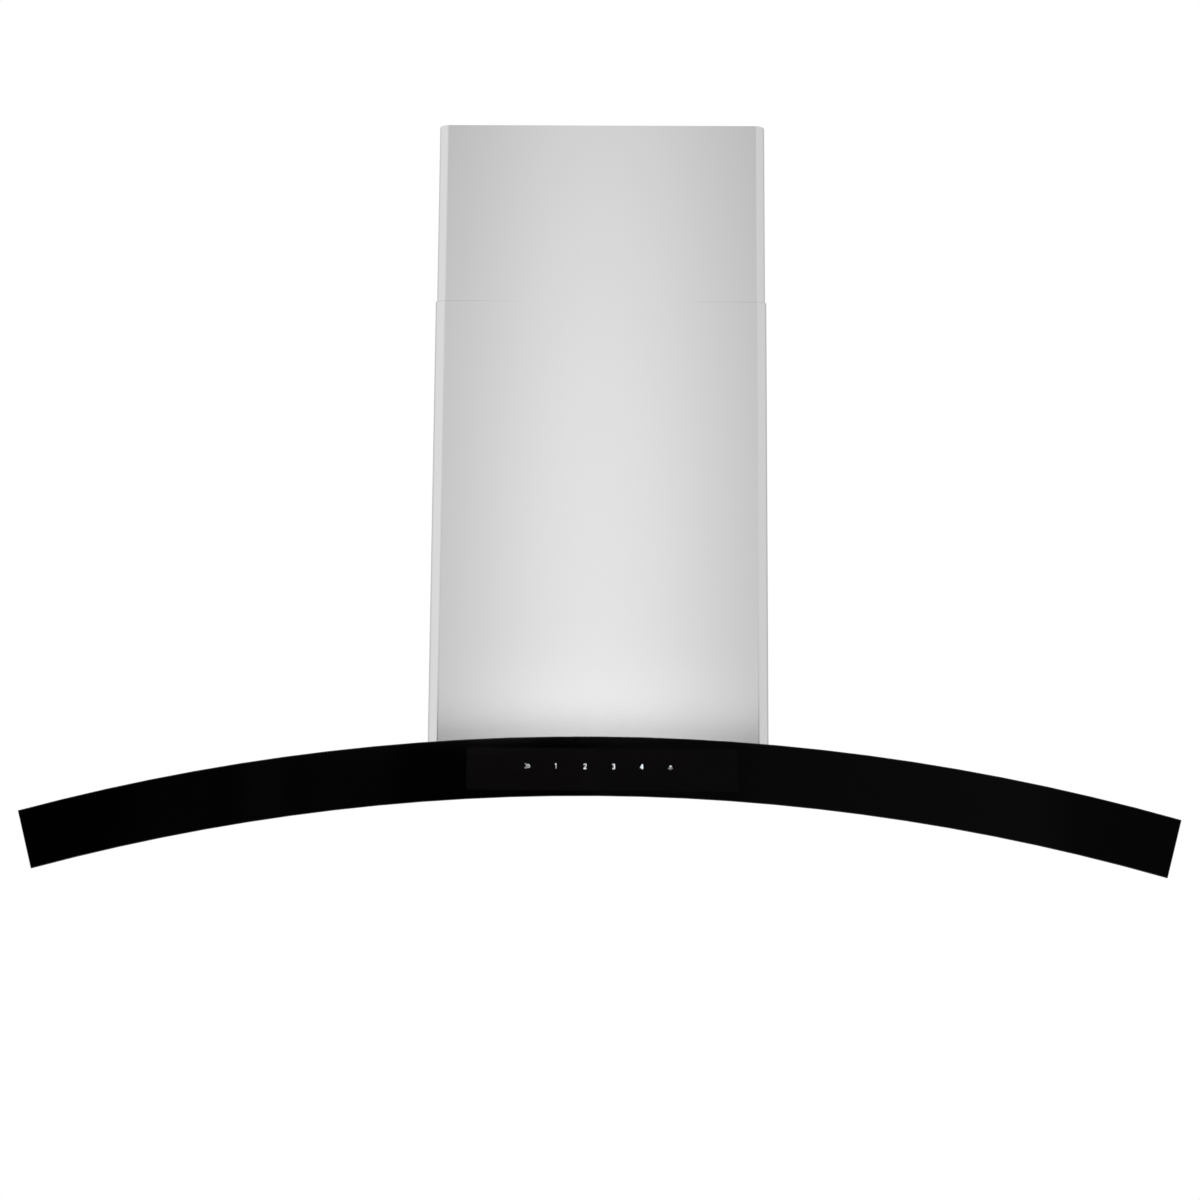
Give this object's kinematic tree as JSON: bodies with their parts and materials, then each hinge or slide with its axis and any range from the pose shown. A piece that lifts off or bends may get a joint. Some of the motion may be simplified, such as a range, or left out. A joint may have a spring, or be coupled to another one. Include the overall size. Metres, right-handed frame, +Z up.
{
  "type": "curved glass range hood",
  "caption": "Wall-mounted range hood with an arched black glass front, a bent glass top, touch controls, lamps, swing-down grease filters, a blower and a telescoping steel chimney.",
  "frame": {"origin": "centre of the four wall holes, on the wall plane", "axes": "+X to the right seen from the front, -Y out of the wall to the front, +Z up"},
  "size_m": [0.9, 0.5, 0.676],
  "materials": {
    "stainless": "brushed along the height, satin",
    "canopy_steel": "brushed, satin",
    "galvanised": "galvanised, spangled",
    "black_glass": "polished, printed black on the back",
    "tape": "foam tape",
    "touch_film": "printed film",
    "circuit_board": "solder mask, satin",
    "black_plastic": "moulded, matte",
    "white_plastic": "moulded, matte",
    "screw_steel": "zinc plated",
    "frosted_lens": "frosted",
    "heat_sink": "cast, satin",
    "bezel_chrome": "satin chrome",
    "filter_steel": "brushed, satin",
    "baffle_aluminium": "rolled, satin",
    "spring_steel": "spring steel, bright",
    "wheel_plastic": "moulded, satin",
    "motor_steel": "painted, satin"
  },
  "bodies": {
    "hood": {"mounting_plate": "galvanised", "blower_box_walls": "galvanised", "blower_box_back": "galvanised", "blower_box_top": "galvanised", "blower_box_flange": "galvanised", "canopy_body": "canopy_steel", "box_screws": "screw_steel", "underside_pan": "canopy_steel", "pan_screws": "screw_steel", "front_glass": "black_glass", "front_glass_tape": "tape", "top_glass": "black_glass", "top_glass_tape": "tape", "touch_film": "touch_film", "control_board": "circuit_board", "control_housing": "black_plastic", "power_box": "black_plastic", "power_board": "circuit_board", "scroll_wrap": "galvanised", "scroll_side_left": "galvanised", "scroll_side_right": "galvanised", "motor_housing": "motor_steel", "motor_bearings": "screw_steel", "motor_bracket": "galvanised", "motor_screws": "screw_steel", "run_capacitor": "white_plastic", "duct_collar": "galvanised", "damper_rod": "screw_steel", "junction_box": "black_plastic", "junction_lid": "black_plastic", "terminal_block": "white_plastic", "cable_gland": "black_plastic", "lower_chimney_cover": "stainless", "chimney_tabs": "galvanised", "lower_cover_screws": "screw_steel", "lamp_bezel_left": "bezel_chrome", "lamp_lens_left": "frosted_lens", "lamp_module_left": "heat_sink", "lamp_bezel_right": "bezel_chrome", "lamp_lens_right": "frosted_lens", "lamp_module_right": "heat_sink", "filter_bay_left": "canopy_steel", "filter_bay_right": "canopy_steel", "latch_strike_left": "spring_steel", "latch_strike_right": "spring_steel"},
    "upper_chimney": {"upper_chimney_cover": "stainless", "upper_bracket": "galvanised", "upper_cover_screws": "screw_steel"},
    "blower_rotor": {"blower_wheel": "wheel_plastic", "motor_shaft": "screw_steel"},
    "damper_front": {"damper_flap_front": "galvanised"},
    "damper_back": {"damper_flap_back": "galvanised"},
    "filter_left": {"filter_frame_left": "filter_steel", "filter_baffles_left": "baffle_aluminium", "latch_spring_left": "spring_steel"},
    "latch_left": {"filter_latch_left": "black_plastic"},
    "filter_right": {"filter_frame_right": "filter_steel", "filter_baffles_right": "baffle_aluminium", "latch_spring_right": "spring_steel"},
    "latch_right": {"filter_latch_right": "black_plastic"}
  },
  "joints": [
    {"name": "upper_chimney_slide", "type": "slide", "parent": "hood", "child": "upper_chimney", "axis": [0, 0, 1], "range_m": [-0.13, 0.18]},
    {"name": "blower_spin", "type": "hinge", "parent": "hood", "child": "blower_rotor", "pos_m": [0, -0.125, -0.025], "axis": [1, 0, 0], "continuous": true},
    {"name": "damper_front_lift", "type": "hinge", "parent": "hood", "child": "damper_front", "pos_m": [0, -0.184, 0.138], "axis": [-1, 0, 0], "range_deg": [0, 80]},
    {"name": "damper_back_lift", "type": "hinge", "parent": "hood", "child": "damper_back", "pos_m": [0, -0.184, 0.138], "axis": [1, 0, 0], "range_deg": [0, 80]},
    {"name": "filter_left_swing", "type": "hinge", "parent": "hood", "child": "filter_left", "pos_m": [-0.17001, -0.061, -0.19169], "axis": [0.9948, 0, 0.102], "range_deg": [0, 75], "deforming": ["latch_strike_left"]},
    {"name": "latch_left_slide", "type": "slide", "parent": "filter_left", "child": "latch_left", "axis": [0, 1, 0], "range_m": [0, 0.006], "stiffness_N_per_m": 200, "springref_m": -0.006, "deforming": ["latch_spring_left"]},
    {"name": "filter_right_swing", "type": "hinge", "parent": "hood", "child": "filter_right", "pos_m": [0.17001, -0.061, -0.19169], "axis": [0.9948, 0, -0.102], "range_deg": [0, 75], "deforming": ["latch_strike_right"]},
    {"name": "latch_right_slide", "type": "slide", "parent": "filter_right", "child": "latch_right", "axis": [0, 1, 0], "range_m": [0, 0.006], "stiffness_N_per_m": 200, "springref_m": -0.006, "deforming": ["latch_spring_right"]}
  ]
}
